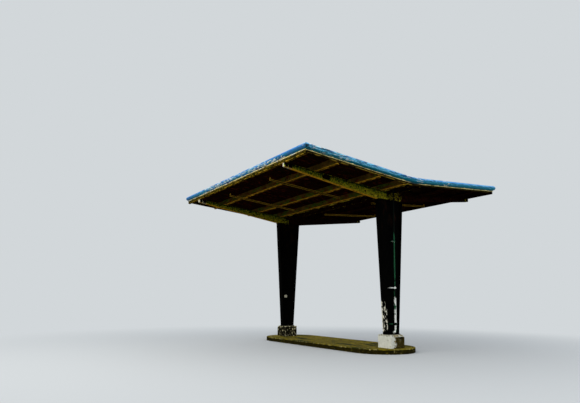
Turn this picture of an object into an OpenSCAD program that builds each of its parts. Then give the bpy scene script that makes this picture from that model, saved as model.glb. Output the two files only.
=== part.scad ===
// Filling station canopy with a butterfly roof on two tapered steel columns.
// X runs along the column line, Y across it (front is -Y), Z is up.
// The origin is on the ground at the middle of the pump island.

/* [Island] */
// Length of the pump island over its round ends
island_length = 7000; // [6900:50:7800]
// Width of the pump island
island_width = 2150; // [1600:50:2400]
// Height of the kerb above the ground
island_height = 150; // [100:5:220]
// Width of the kerb on top
kerb_width = 150; // [100:10:250]
// Radius of the kerb's worn outer edge
kerb_round = 25; // [10:1:40]

/* [Columns] */
// Distance between the two columns
column_spacing = 5800; // [5000:50:6000]
// Width of the square concrete pedestals
pedestal_width = 570; // [560:10:640]
// Height of the pedestals above the island
pedestal_height = 400; // [250:10:500]
// Depth of a column at its foot
column_foot_depth = 490; // [380:10:500]
// Depth of a column under its cap plate
column_head_depth = 1000; // [700:10:1100]
// Width of the column flanges
column_flange = 210; // [180:5:240]

/* [Girders] */
// Height of the cap plates, where the girder arms start
knee_height = 4725; // [4200:25:5000]
// Depth of the girders over the columns
girder_depth = 245; // [220:5:320]
// Depth of the girders at their tips
tip_depth = 105; // [80:5:140]
// Width of the girder flanges
girder_flange = 110; // [90:5:160]

/* [Roof] */
// Length of the roof frame along the columns
roof_length = 7856; // [7200:8:8400]
// Width of the roof frame in plan
roof_width = 8006; // [7600:6:8600]
// Rise of each wing in degrees
roof_slope = 4.5; // [3:0.5:7]
// Depth of the purlins
purlin_depth = 200; // [160:5:240]
// Thickness of the plank deck
deck_thickness = 35; // [25:1:50]

/* [Fascia] */
// Height of the half-round metal fascia
fascia_height = 164; // [120:2:180]
// Height of the cream drip trim below it
trim_height = 36; // [30:2:60]
// Length of the soft bend at the valley
bend_length = 1100; // [600:50:1400]

/* [Rainwater] */
// Width of the trough along the valley
gutter_width = 200; // [160:10:260]
// Outer diameter of the downpipe below its joint
pipe_diameter = 64; // [54:2:80]
// Outer diameter of the thinner pipe above the joint
upper_pipe_diameter = 40; // [30:2:46]
// Height of the joint above the ground, where the upper strap of the lower pipe is
pipe_joint_height = 1980; // [1500:10:2400]
// Height of the foot strap above the ground
strap_low_height = 850; // [780:10:1200]
// Height of the small strap on the upper pipe
strap_high_height = 3400; // [2800:10:3900]
// Distance of the downpipe behind the middle of the valley
pipe_offset = 55; // [0:5:55]

/* [Fittings] */
// Distance of the lamp rails from the middle of the roof
rail_distance = 1350; // [900:10:1800]
// Width of the lamp rails
rail_width = 60; // [40:2:80]
// Height of the switch box above the ground
box_height = 1705; // [1200:5:2200]
// Width of the switch box
box_width = 110; // [90:2:140]

/* [Hidden] */
$fn = 48;
over = 1;

// Concrete: the slab lies a little below the kerb, and the pedestals stand on it
slab_sunk = 10;
slab_top = island_height - slab_sunk;
pedestal_top = slab_top + pedestal_height;
pedestal_chamfer = 18;
kerb_inside_width = island_width - 2 * kerb_width;

// Plate thicknesses of the steelwork
flange_t = 16;
web_t = 12;
arm_flange_t = 14;
end_plate_t = 12;
base_plate_t = 20;
base_plate_lip = 25;
cap_plate_t = 16;
cap_plate_lip = 20;
stiffener_inset = 8;

// Places on the frame
column_x = column_spacing / 2;
foot_half = column_foot_depth / 2;
head_half = column_head_depth / 2;
foot_z = pedestal_top + base_plate_t;
head_z = knee_height - cap_plate_t;
valley_z = knee_height + girder_depth;
wing_length = roof_width / 2 / cos(roof_slope);
tip_y = roof_width / 2 - 15;
tip_top = valley_z + tip_y * tan(roof_slope);
tip_bottom = tip_top - tip_depth;

// Second stiffener, a little behind each tip, on the rising bottom flange
tip_stiffener_y = tip_y - 130;
tip_stiffener_z = knee_height + arm_flange_t / 2
    + (tip_stiffener_y - head_half) / (tip_y - head_half) * (tip_bottom - knee_height);

// Purlins, measured up the slope from the valley to the face nearer the eave
purlin_flange = 70;
purlin_web_t = 8;
purlin_flange_t = 9;
outer_purlin_at = 0.73 * wing_length;
inner_purlin_at = 0.345 * wing_length;
valley_purlin_at = 0.09 * wing_length;

// Angle cleats that hold the purlins upright on the girders
cleat_length = 100;
cleat_leg = 70;
cleat_t = 8;
cleat_rise = 0.7 * purlin_depth;

// Timber joists along the gables, set above the undersides of the purlins
joist_t = 45;
joist_lift = 40;

// Roof build-up above the undersides of the purlins
roofing_t = 15;
deck_w = purlin_depth;
roofing_w = deck_w + deck_thickness;
roof_stop = 32;
fascia_top_w = roofing_w + roofing_t + roof_stop;
fascia_bottom_w = fascia_top_w - fascia_height;
trim_bottom_w = fascia_bottom_w - trim_height;

// Section of the fascia and the trim
fascia_r = fascia_height / 2;
sheet_t = 6;
stop_width = 40;
slot_depth = 3;
slot_width = 6;
trim_t = 10;
bead_r = 9;

// How far a run is drawn past its corner before the mitre is cut, and the cutter's reach
run_over = 2 * fascia_r + stop_width;
cutter = 4 * run_over;

// Radius of the bend at the valley, measured at the purlin undersides
bend_angle = 2 * roof_slope;
bend_r = bend_length / bend_angle * 180 / PI;
bend_half = bend_r * tan(roof_slope);

// Gutter along the valley
gutter_half = gutter_width / 2;
gutter_lip = 60;
gutter_sheet = 4;
gutter_rise = 120;
gutter_seam = 0.3;
gutter_clearance = 0.6;
deck_start = (gutter_half + roofing_w * sin(roof_slope)) / cos(roof_slope) + gutter_clearance;
gutter_floor_z = valley_z + gutter_rise;

// Downpipe just outside the right column, clear of its cap plate
pipe_r = pipe_diameter / 2;
upper_pipe_r = upper_pipe_diameter / 2;
pipe_wall = 3;
pipe_gap = 4;
pipe_x = column_x + column_flange / 2 + pipe_r + pipe_gap;
collar_t = 5;
collar_height = 60;
strap_width = 220;
clip_width = 90;
strap_height = 30;
strap_t = 8;
shoe_r = 55;
shoe_angle = 70;
shoe_spout = 50;
shoe_z = foot_z + 120;

// Lamp rails hung under the purlins
rail_depth = 55;
rail_drop = 12;
rail_t = 5;
rail_start = 0.185 * wing_length;
rail_end = 0.87 * wing_length;
rail_end_rise = 55;
hanger_width = 30;

// Switch box in the recess of the left column
box_depth = 90;
box_rise = 85;
box_y = -130;
lid_t = 6;
lid_lip = 5;
hub_r = 14;
hub_length = 24;

// Puts a wing's pieces on its slope: y runs up the wing, z is square to it
module on_wing(side) {
    mirror([0, side < 0 ? 1 : 0, 0])
        translate([0, 0, valley_z])
            rotate([roof_slope, 0, 0])
                children();
}

// A plate drawn in the YZ plane and centred on x = 0
module yz_plate(points, thickness) {
    translate([-thickness / 2, 0, 0])
        rotate([90, 0, 90])
            linear_extrude(height = thickness)
                polygon(points);
}

// Section of the kerb, from its inner face outwards, with a round outer edge
module kerb_section() {
    union() {
        square([kerb_width, island_height - kerb_round]);
        square([kerb_width - kerb_round, island_height]);
        translate([kerb_width - kerb_round, island_height - kerb_round])
            circle(r = kerb_round, $fn = 32);
    }
}

// Cast kerb: two straight runs and two half rings
module island_kerb() {
    straight = island_length - island_width;
    color("#9b927c")
        for (turn = [0, 180])
            rotate([0, 0, turn]) {
                translate([-straight / 2, kerb_inside_width / 2, 0])
                    rotate([90, 0, 90])
                        linear_extrude(height = straight)
                            kerb_section();
                translate([straight / 2, 0, 0])
                    rotate([0, 0, -90])
                        rotate_extrude(angle = 180, $fn = 96)
                            translate([kerb_inside_width / 2, 0])
                                kerb_section();
            }
}

module island_slab() {
    straight = island_length - island_width;
    color("#8d8570")
        linear_extrude(height = slab_top)
            union() {
                square([straight, kerb_inside_width], center = true);
                for (side = [-1, 1])
                    translate([side * straight / 2, 0])
                        circle(r = kerb_inside_width / 2, $fn = 96);
            }
}

// Cast block with its top edges chamfered
module pedestal(side) {
    half = pedestal_width / 2;
    outline = [
        [-half, 0], [half, 0], [half, pedestal_height - pedestal_chamfer],
        [half - pedestal_chamfer, pedestal_height],
        [pedestal_chamfer - half, pedestal_height],
        [-half, pedestal_height - pedestal_chamfer]
    ];
    color(side > 0 ? "#cfcfcb" : "#3a3a38")
        translate([side * column_x, 0, slab_top])
            intersection() {
                yz_plate(outline, pedestal_width);
                rotate([0, 0, 90]) yz_plate(outline, pedestal_width);
            }
}

module base_plate(side) {
    width = column_flange + 2 * base_plate_lip;
    depth = column_foot_depth + 2 * base_plate_lip;
    color("#26241f")
        translate([side * column_x - width / 2, -depth / 2, pedestal_top])
            cube([width, depth, base_plate_t]);
}

// Welded column: a tapered web between two leaning flanges
module column(side) {
    color("#1d1d1c")
        translate([side * column_x, 0, 0]) {
            yz_plate([
                [-foot_half, foot_z], [foot_half, foot_z],
                [head_half, head_z], [-head_half, head_z]
            ], web_t);
            for (s = [-1, 1])
                yz_plate([
                    [s * foot_half, foot_z], [s * (foot_half - flange_t), foot_z],
                    [s * (head_half - flange_t), head_z], [s * head_half, head_z]
                ], column_flange);
        }
}

module cap_plate(side) {
    depth = column_head_depth + 2 * cap_plate_lip;
    color("#1d1d1c")
        translate([side * column_x - column_flange / 2, -depth / 2, head_z])
            cube([column_flange, depth, cap_plate_t]);
}

// Web stiffener at y, from the bottom flange to the top flange
module stiffener(y, bottom, thickness) {
    width = girder_flange - 2 * stiffener_inset;
    top = valley_z + y * tan(roof_slope) - arm_flange_t;
    translate([-width / 2, y - thickness / 2, bottom])
        cube([width, thickness, top - bottom]);
}

// One arm of a girder, level over the column and tapering to its tip
module girder_arm(side_x, side_y) {
    color(side_y < 0 ? "#8a8338" : "#4a2a1c")
        translate([side_x * column_x, 0, 0])
            mirror([0, side_y < 0 ? 1 : 0, 0]) {
                yz_plate([
                    [0, knee_height], [head_half, knee_height], [tip_y, tip_bottom],
                    [tip_y, tip_top], [0, valley_z]
                ], web_t);
                yz_plate([
                    [0, knee_height], [head_half, knee_height], [tip_y, tip_bottom],
                    [tip_y, tip_bottom + arm_flange_t],
                    [head_half, knee_height + arm_flange_t], [0, knee_height + arm_flange_t]
                ], girder_flange);
                yz_plate([
                    [0, valley_z - arm_flange_t], [tip_y, tip_top - arm_flange_t],
                    [tip_y, tip_top], [0, valley_z]
                ], girder_flange);
                yz_plate([
                    [0, knee_height], [end_plate_t, knee_height],
                    [end_plate_t, valley_z], [0, valley_z]
                ], girder_flange);
                yz_plate([
                    [tip_y - end_plate_t, tip_bottom], [tip_y, tip_bottom],
                    [tip_y, tip_top], [tip_y - end_plate_t, tip_top]
                ], girder_flange);
                stiffener(head_half - flange_t / 2, knee_height, end_plate_t);
                stiffener(tip_stiffener_y, tip_stiffener_z, end_plate_t);
            }
}

// Rolled channel with its web towards the eave, at a distance up the wing
module purlin(side, at) {
    color(side < 0 ? "#7c6d33" : "#4c2f1d")
        on_wing(side) {
            translate([joist_t - roof_length / 2, at - purlin_flange, 0])
                purlin_channel(roof_length - 2 * joist_t);
            for (s = [-1, 1])
                translate([s * column_x - cleat_length / 2, at, 0])
                    cleat();
        }
}

module purlin_channel(length) {
    difference() {
        cube([length, purlin_flange, purlin_depth]);
        translate([-over, -over, purlin_flange_t])
            cube([
                length + 2 * over, purlin_flange - purlin_web_t + over,
                purlin_depth - 2 * purlin_flange_t
            ]);
    }
}

// Angle with one leg on the girder and the other against the purlin's web
module cleat() {
    cube([cleat_length, cleat_leg, cleat_t]);
    cube([cleat_length, cleat_t, cleat_rise]);
}

// The eave channels run past the gable joists to the corners
module eave_purlin(side) {
    color(side < 0 ? "#857a35" : "#4c2f1d")
        on_wing(side)
            translate([-roof_length / 2, wing_length - purlin_flange, 0])
                purlin_channel(roof_length);
}

module gable_joist(side_x, side_y) {
    // A vertical cut at the valley lets the two joists of a gable meet
    past = 60;
    color("#5a4a28")
        difference() {
            on_wing(side_y)
                translate([side_x * (roof_length - joist_t) / 2 - joist_t / 2, -past, joist_lift])
                    cube([joist_t, wing_length - purlin_flange + past, purlin_depth - joist_lift]);
            translate([-roof_length / 2 - over, side_y > 0 ? -cutter : 0, valley_z - over])
                cube([roof_length + 2 * over, cutter, 2 * purlin_depth]);
        }
}

module deck(side) {
    color("#2b211a")
        on_wing(side)
            translate([-roof_length / 2, deck_start, deck_w])
                cube([roof_length, wing_length - deck_start, deck_thickness]);
}

module roofing(side) {
    color("#3a3936")
        on_wing(side)
            translate([-roof_length / 2, deck_start + gutter_lip, roofing_w])
                cube([roof_length, wing_length - deck_start - gutter_lip, roofing_t]);
}

// Trough along the valley: floor, walls and ends with fine seams between them, and
// a flashing strip on each deck beside it
module valley_gutter() {
    length = roof_length - 2 * joist_t;
    lip_w = roofing_w + gutter_sheet;
    top = valley_z + deck_start * sin(roof_slope) + lip_w * cos(roof_slope) - gutter_seam;
    wall_z = gutter_floor_z + gutter_sheet + gutter_seam;
    inner = gutter_half - gutter_sheet;
    color("#4b4a46") {
        difference() {
            translate([-length / 2, -gutter_half, gutter_floor_z])
                cube([length, gutter_width, gutter_sheet]);
            translate([pipe_x, pipe_offset, gutter_floor_z - over])
                cylinder(r = upper_pipe_r - pipe_wall, h = gutter_sheet + 2 * over);
        }
        for (s = [-1, 1]) {
            translate([-length / 2, s > 0 ? inner : -gutter_half, wall_z])
                cube([length, gutter_sheet, top - wall_z]);
            translate([s > 0 ? length / 2 - gutter_sheet : -length / 2, gutter_seam - inner, wall_z])
                cube([gutter_sheet, 2 * (inner - gutter_seam), top - wall_z]);
            on_wing(s)
                translate([-length / 2, deck_start, roofing_w])
                    cube([length, gutter_lip, gutter_sheet]);
        }
    }
}

// Section of the metal fascia: a hollow half round and a raised roof edge.
// x points out of the roof and y is the height above the purlin undersides.
module fascia_section() {
    mid = fascia_bottom_w + fascia_r;
    difference() {
        union() {
            intersection() {
                translate([0, mid]) circle(r = fascia_r, $fn = 64);
                translate([0, fascia_bottom_w]) square([fascia_r, fascia_height]);
            }
            translate([-stop_width, roofing_w + roofing_t])
                square([stop_width + over, roof_stop]);
        }
        intersection() {
            translate([0, mid]) circle(r = fascia_r - sheet_t, $fn = 64);
            translate([sheet_t, fascia_bottom_w]) square([fascia_r, fascia_height]);
        }
        translate([fascia_r - slot_depth, mid - slot_width / 2])
            square([slot_depth + over, slot_width]);
    }
}

// Section of the drip trim, with a bead along its lower edge
module trim_section() {
    union() {
        translate([0, trim_bottom_w]) square([trim_t, trim_height]);
        translate([trim_t - over, trim_bottom_w + bead_r]) circle(r = bead_r, $fn = 32);
    }
}

// Runs a section along an eave, mitred at both corners
module eave_run(side) {
    reach = roof_length / 2;
    on_wing(side)
        difference() {
            translate([-reach - run_over, wing_length, 0])
                rotate([90, 0, 90])
                    linear_extrude(height = 2 * (reach + run_over))
                        children();
            for (s = [-1, 1])
                translate([s * reach, wing_length, -over])
                    rotate([0, 0, s > 0 ? -45 : 135])
                        translate([0, -cutter, 0])
                            cube([cutter, 2 * cutter, fascia_top_w + 2 * over]);
        }
}

// Runs a section up both wings of a gable, with a soft bend at the valley
module gable_run(side_x) {
    reach = roof_length / 2;
    mirror([side_x < 0 ? 1 : 0, 0, 0])
        union() {
            for (side = [-1, 1])
                on_wing(side)
                    difference() {
                        translate([reach, wing_length + run_over, 0])
                            rotate([90, 0, 0])
                                linear_extrude(height = wing_length + run_over - bend_half)
                                    children();
                        translate([reach, wing_length, -over])
                            rotate([0, 0, 45])
                                translate([-cutter, 0, 0])
                                    cube([2 * cutter, cutter, fascia_top_w + 2 * over]);
                    }
            translate([reach, 0, valley_z + bend_r / cos(roof_slope)])
                rotate([0, 90, 0])
                    rotate([0, 0, -roof_slope])
                        rotate_extrude(angle = bend_angle, $fn = 720)
                            translate([bend_r, 0])
                                rotate([0, 0, 90])
                                    children();
        }
}

module fascia_front() { color("#3f7fa8") eave_run(-1) fascia_section(); }
module fascia_back() { color("#3f7fa8") eave_run(1) fascia_section(); }
module fascia_left() { color("#3f7fa8") gable_run(-1) fascia_section(); }
module fascia_right() { color("#3f7fa8") gable_run(1) fascia_section(); }
module trim_front() { color("#c9bf94") eave_run(-1) trim_section(); }
module trim_back() { color("#c9bf94") eave_run(1) trim_section(); }
module trim_left() { color("#c9bf94") gable_run(-1) trim_section(); }
module trim_right() { color("#c9bf94") gable_run(1) trim_section(); }

// Lamp rail under a wing: an open channel held by straps from two purlins,
// with a plate that stands up at its outer end
module lamp_rail(side_x, side_y) {
    length = rail_end - rail_start;
    color("#b5a565")
        on_wing(side_y)
            translate([side_x * rail_distance - rail_width / 2, 0, 0]) {
                translate([0, rail_start, -rail_drop - rail_depth])
                    difference() {
                        cube([rail_width, length, rail_depth]);
                        translate([rail_t, rail_t, rail_t])
                            cube([rail_width - 2 * rail_t, length - 2 * rail_t, rail_depth]);
                    }
                translate([0, rail_end - rail_t, -rail_drop])
                    cube([rail_width, rail_t, rail_end_rise]);
                for (at = [outer_purlin_at, inner_purlin_at])
                    translate([0, at - (purlin_flange + hanger_width) / 2, -rail_drop])
                        rail_strap();
            }
}

module rail_strap() {
    for (x = [0, rail_width - rail_t])
        translate([x, 0, -rail_depth]) cube([rail_t, hanger_width, rail_depth + rail_drop]);
    translate([0, 0, rail_drop - rail_t]) cube([rail_width, hanger_width, rail_t]);
}

// Downpipe: a thin pipe from a collar under the gutter, set into a wider one that
// ends in a shoe turned to the front, and held to the column by three straps
module downpipe() {
    lower_length = pipe_joint_height - shoe_z;
    color("#5d6a5c") {
        translate([pipe_x, pipe_offset, 0]) {
            translate([0, 0, pipe_joint_height])
                linear_extrude(height = gutter_floor_z - pipe_joint_height)
                    pipe_ring(upper_pipe_r, pipe_wall);
            translate([0, 0, gutter_floor_z - collar_height])
                linear_extrude(height = collar_height)
                    pipe_ring(upper_pipe_r + collar_t, collar_t + pipe_wall);
            translate([0, 0, pipe_joint_height - collar_t])
                linear_extrude(height = collar_t)
                    pipe_ring(pipe_r, pipe_r - upper_pipe_r + pipe_wall);
            translate([0, 0, shoe_z])
                linear_extrude(height = lower_length)
                    pipe_ring(pipe_r, pipe_wall);
            translate([0, 0, shoe_z])
                rotate([0, 0, -90])
                    pipe_shoe();
        }
        pipe_strap(strap_low_height, pipe_r, strap_width, 0);
        pipe_strap(pipe_joint_height - strap_height, pipe_r, strap_width, 0);
        pipe_strap(strap_high_height, upper_pipe_r, clip_width, pipe_offset);
    }
}

module pipe_ring(radius, wall) {
    difference() {
        circle(r = radius);
        circle(r = radius - wall);
    }
}

// Elbow that turns from straight down towards +x, with a short spout
module pipe_shoe() {
    translate([shoe_r, 0, 0]) {
        rotate([90, 0, 0])
            rotate([0, 0, 180])
                rotate_extrude(angle = shoe_angle)
                    translate([shoe_r, 0])
                        pipe_ring(pipe_r, pipe_wall);
        rotate([0, -shoe_angle, 0])
            translate([-shoe_r, 0, -shoe_spout])
                linear_extrude(height = shoe_spout)
                    pipe_ring(pipe_r, pipe_wall);
    }
}

// Strap from the right column's web round the inner side of a pipe
module pipe_strap(z, radius, width, middle) {
    web_x = column_x + web_t / 2;
    reach = pipe_x - web_x;
    translate([web_x, middle - width / 2, z])
        difference() {
            cube([reach, width, strap_height]);
            translate([-over, strap_t, -over])
                cube([reach - radius - strap_t + over, width - 2 * strap_t, strap_height + 2 * over]);
            translate([reach, width / 2 - middle + pipe_offset, -over])
                cylinder(r = radius - over, h = strap_height + 2 * over);
        }
}

// Round-topped switch box with a lid that laps its rim and a conduit hub under it
module switch_box() {
    color("#c4c2b4")
        translate([web_t / 2 - column_x, box_y, box_height]) {
            rotate([90, 0, 90])
                linear_extrude(height = box_depth)
                    box_outline(0);
            translate([box_depth - lid_t, 0, 0])
                rotate([90, 0, 90])
                    linear_extrude(height = lid_t)
                        box_outline(lid_lip);
            translate([box_depth / 2, 0, -hub_length])
                cylinder(r = hub_r, h = hub_length);
        }
}

// Flat bottom and half-round top, grown outwards by a lip
module box_outline(lip) {
    half = box_width / 2;
    union() {
        translate([0, box_rise - half]) circle(r = half + lip);
        translate([-half - lip, -lip]) square([box_width + 2 * lip, box_rise - half + lip]);
    }
}

island_kerb();
island_slab();
pedestal(-1);  // pedestal_left
pedestal(1);  // pedestal_right
base_plate(-1);  // base_plate_left
base_plate(1);  // base_plate_right
column(-1);  // column_left
column(1);  // column_right
cap_plate(-1);  // cap_plate_left
cap_plate(1);  // cap_plate_right
girder_arm(-1, -1);  // girder_left_front
girder_arm(-1, 1);  // girder_left_back
girder_arm(1, -1);  // girder_right_front
girder_arm(1, 1);  // girder_right_back
eave_purlin(-1);  // eave_purlin_front
purlin(-1, outer_purlin_at);  // outer_purlin_front
purlin(-1, inner_purlin_at);  // inner_purlin_front
purlin(-1, valley_purlin_at);  // valley_purlin_front
eave_purlin(1);  // eave_purlin_back
purlin(1, outer_purlin_at);  // outer_purlin_back
purlin(1, inner_purlin_at);  // inner_purlin_back
purlin(1, valley_purlin_at);  // valley_purlin_back
gable_joist(-1, -1);  // gable_joist_left_front
gable_joist(-1, 1);  // gable_joist_left_back
gable_joist(1, -1);  // gable_joist_right_front
gable_joist(1, 1);  // gable_joist_right_back
deck(-1);  // deck_front
deck(1);  // deck_back
roofing(-1);  // roofing_front
roofing(1);  // roofing_back
valley_gutter();
fascia_front();
fascia_back();
fascia_left();
fascia_right();
trim_front();
trim_back();
trim_left();
trim_right();
lamp_rail(-1, -1);  // lamp_rail_left_front
lamp_rail(-1, 1);  // lamp_rail_left_back
lamp_rail(1, -1);  // lamp_rail_right_front
lamp_rail(1, 1);  // lamp_rail_right_back
downpipe();
switch_box();
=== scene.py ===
import math
import random
from statistics import NormalDist

import bmesh
import bpy
from mathutils import Matrix, Vector, noise


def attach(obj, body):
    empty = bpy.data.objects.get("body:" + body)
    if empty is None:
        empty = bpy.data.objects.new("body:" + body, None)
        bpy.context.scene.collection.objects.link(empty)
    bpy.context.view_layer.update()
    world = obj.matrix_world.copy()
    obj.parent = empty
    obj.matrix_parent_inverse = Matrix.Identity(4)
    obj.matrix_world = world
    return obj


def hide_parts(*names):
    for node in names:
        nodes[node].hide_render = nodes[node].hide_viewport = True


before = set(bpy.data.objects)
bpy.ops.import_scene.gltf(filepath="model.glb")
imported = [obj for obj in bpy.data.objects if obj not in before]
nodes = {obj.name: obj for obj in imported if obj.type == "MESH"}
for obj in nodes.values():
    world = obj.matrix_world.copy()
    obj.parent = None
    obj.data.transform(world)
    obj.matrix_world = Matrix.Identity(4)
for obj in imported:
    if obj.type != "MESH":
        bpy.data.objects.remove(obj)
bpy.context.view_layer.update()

random.seed(11)
print("frame loaded:", len(nodes), "nodes")


# Small tools

def toLinear(hexColour):
    def channel(value):
        return value / 12.92 if value <= 0.04045 else ((value + 0.055) / 1.055) ** 2.4
    return (*[channel(int(hexColour[i:i + 2], 16) / 255) for i in (1, 3, 5)], 1.0)


def addNode(tree, kind, settings=None):
    # Adds a shader node. A setting is a property, a socket's value, or a node or output for a socket.
    node = tree.nodes.new("ShaderNode" + kind)
    for key, value in (settings or {}).items():
        if isinstance(value, bpy.types.Node):
            value = value.outputs[0]
        if isinstance(value, bpy.types.NodeSocket):
            tree.links.new(value, node.inputs[key])
        elif isinstance(key, str) and hasattr(node, key):
            setattr(node, key, value)
        else:
            node.inputs[key].default_value = value
    return node


def perMetre(millimetres):
    return 1000 / millimetres      # pattern repeats in a metre


def addPiece(name, mesh, slot, material):
    piece = bpy.data.objects.new(name, mesh)
    bpy.context.scene.collection.objects.link(piece)
    mesh.materials.append(material)
    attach(piece, "root")
    return piece


def softenEdges(piece, degrees):
    # Smooth shading, but crisp at corners sharper than the angle
    for face in piece.data.polygons:
        face.use_smooth = True
    piece.data.set_sharp_from_angle(angle=math.radians(degrees))


class Shape:
    # Gathers the vertices and faces of one piece
    def __init__(self):
        self.vertices, self.faces, self.marks = [], [], []

    def skin(self, rings, closedRun=False, mark=0.5):
        # Quads between rings of equal count, with a cap at each end unless the run is closed
        start, count = len(self.vertices), len(rings[0])
        for ring in rings:
            self.vertices.extend(ring)
            self.marks.extend([mark] * count)
        last = len(rings) if closedRun else len(rings) - 1
        for i in range(last):
            here, there = start + i * count, start + (i + 1) % len(rings) * count
            for j in range(count):
                k = (j + 1) % count
                self.faces.append((here + j, here + k, there + k, there + j))
        if not closedRun:
            self.faces.append(tuple(start + j for j in reversed(range(count))))
            self.faces.append(tuple(start + (len(rings) - 1) * count + j for j in range(count)))

    def piece(self, name, slot, material, smooth=None, markName=None):
        mesh = bpy.data.meshes.new(name)
        mesh.from_pydata([tuple(v) for v in self.vertices], [], self.faces)
        mesh.validate()
        if markName:
            layer = mesh.attributes.new(markName, "FLOAT", "POINT")
            layer.data.foreach_set("value", self.marks)
        made = bmesh.new()
        made.from_mesh(mesh)
        bmesh.ops.recalc_face_normals(made, faces=made.faces)
        made.to_mesh(mesh)
        made.free()
        piece = addPiece(name, mesh, slot, material)
        if smooth:
            softenEdges(piece, smooth)
        return piece


def turned(shape, at, axis, steps, sides, twist=0.0):
    # A form turned about an axis, from pairs of height and radius
    axis = axis.normalized()
    one = axis.orthogonal().normalized()
    other = axis.cross(one)
    angles = [twist + 2 * math.pi * k / sides for k in range(sides)]
    shape.skin([[at + axis * height + (one * math.cos(angle) + other * math.sin(angle)) * radius
                 for angle in angles] for height, radius in steps])


def dress(material, *names):
    for name in names:
        for slot in nodes[name].material_slots:
            slot.link = "OBJECT"
            slot.material = material


def wobble(*place, size):
    # Smooth noise from about -1 to 1, with features about as wide as the size. What a caller adds to a
    # place only picks another part of the noise.
    return noise.noise(Vector((*place, 0.0)[:3]) / size)


# Camera: stands at the photograph's place off the near right corner, looking slightly up
camera = {
    "place": (13.48, -10.83, 1.52),
    "heading": 56.26,           # degrees from the back towards the left
    "pitch": 6.79,
    "roll": 0.45,
    "focalPixels": 474.8,
    "frameWidth": 580,
    "sensor": 36.0,
    "axisBelowMiddle": 43.5,    # pixels
    "farthest": 300,
}


def makeCamera(c):
    heading, pitch, roll = (math.radians(c[key]) for key in ("heading", "pitch", "roll"))
    forward = Vector((-math.sin(heading) * math.cos(pitch), math.cos(heading) * math.cos(pitch),
                      math.sin(pitch)))
    right = Vector((math.cos(heading), math.sin(heading), 0))
    up = right.cross(forward)
    turnedRight = right * math.cos(roll) + up * math.sin(roll)
    turnedUp = up * math.cos(roll) - right * math.sin(roll)
    data = bpy.data.cameras.new("camera")
    data.sensor_width = c["sensor"]
    data.lens = c["focalPixels"] * c["sensor"] / c["frameWidth"]
    data.shift_y = c["axisBelowMiddle"] / c["frameWidth"]
    data.clip_end = c["farthest"]
    eye = bpy.data.objects.new("camera", data)
    turn = Matrix((turnedRight, turnedUp, -forward)).transposed().to_4x4()
    eye.matrix_world = Matrix.Translation(c["place"]) @ turn
    bpy.context.scene.collection.objects.link(eye)
    bpy.context.scene.camera = eye


makeCamera(camera)
print("camera set")


# Light: an even pale dome and three broad soft lamps; the backdrop's colour is what the camera sees
studio = {
    "backdrop": "#D2D7DA",
    "domeLight": "#F4F7FA", "domeStrength": 0.72,
    "floorBounce": "#706D5D",       # floor as the underside of the roof sees it
    "floorPale": "#C8CCCE",         # floor as the camera sees it, before the light falls on it
    "floorPlain": 6.0, "floorFades": 15.0, "floorRadius": 120,     # metres from the middle
    "floorSides": 96,
    "floorDrop": 0.002,             # under the object, so that their faces stay apart
    "lampsAimAt": 3,                # metres above the middle
    "lamps": [
        {"place": (3, -16, 12), "size": 12, "watts": 1500, "colour": "#FFFBF4"},
        {"place": (-12, 4, 15), "size": 12, "watts": 600, "colour": "#F3F7FF"},
        {"place": (18, 3, 12), "size": 12, "watts": 800, "colour": "#F6F9FF"},
    ],
}


def seenRays(tree):
    # 1 for the rays that see the backdrop's own colour
    path = addNode(tree, "LightPath")
    seen = path.outputs["Is Camera Ray"]
    for kind in ("Is Glossy Ray", "Is Transmission Ray"):
        seen = addNode(tree, "Math", {"operation": "MAXIMUM", 0: seen, 1: path.outputs[kind]})
    return seen


def makeStudio(s):
    scene = bpy.context.scene
    scene.view_settings.view_transform = "Standard"
    world = bpy.data.worlds.new("studio")
    scene.world = world
    world.use_nodes = True
    tree = world.node_tree
    tree.nodes.clear()
    dome = addNode(tree, "Background", {"Color": toLinear(s["domeLight"]), "Strength": s["domeStrength"]})
    back = addNode(tree, "Background", {"Color": toLinear(s["backdrop"]), "Strength": 1.0})
    both = addNode(tree, "MixShader", {0: seenRays(tree), 1: dome, 2: back})
    addNode(tree, "OutputWorld", {"Surface": both})
    for number, lamp in enumerate(s["lamps"]):
        data = bpy.data.lights.new(f"softLamp{number}", "AREA")
        data.energy = lamp["watts"]
        data.size = lamp["size"]
        data.color = toLinear(lamp["colour"])[:3]
        light = bpy.data.objects.new(f"softLamp{number}", data)
        light.location = lamp["place"]
        aim = Vector((0, 0, s["lampsAimAt"])) - Vector(lamp["place"])
        light.rotation_euler = aim.to_track_quat("-Z", "Y").to_euler()
        scene.collection.objects.link(light)


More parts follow.
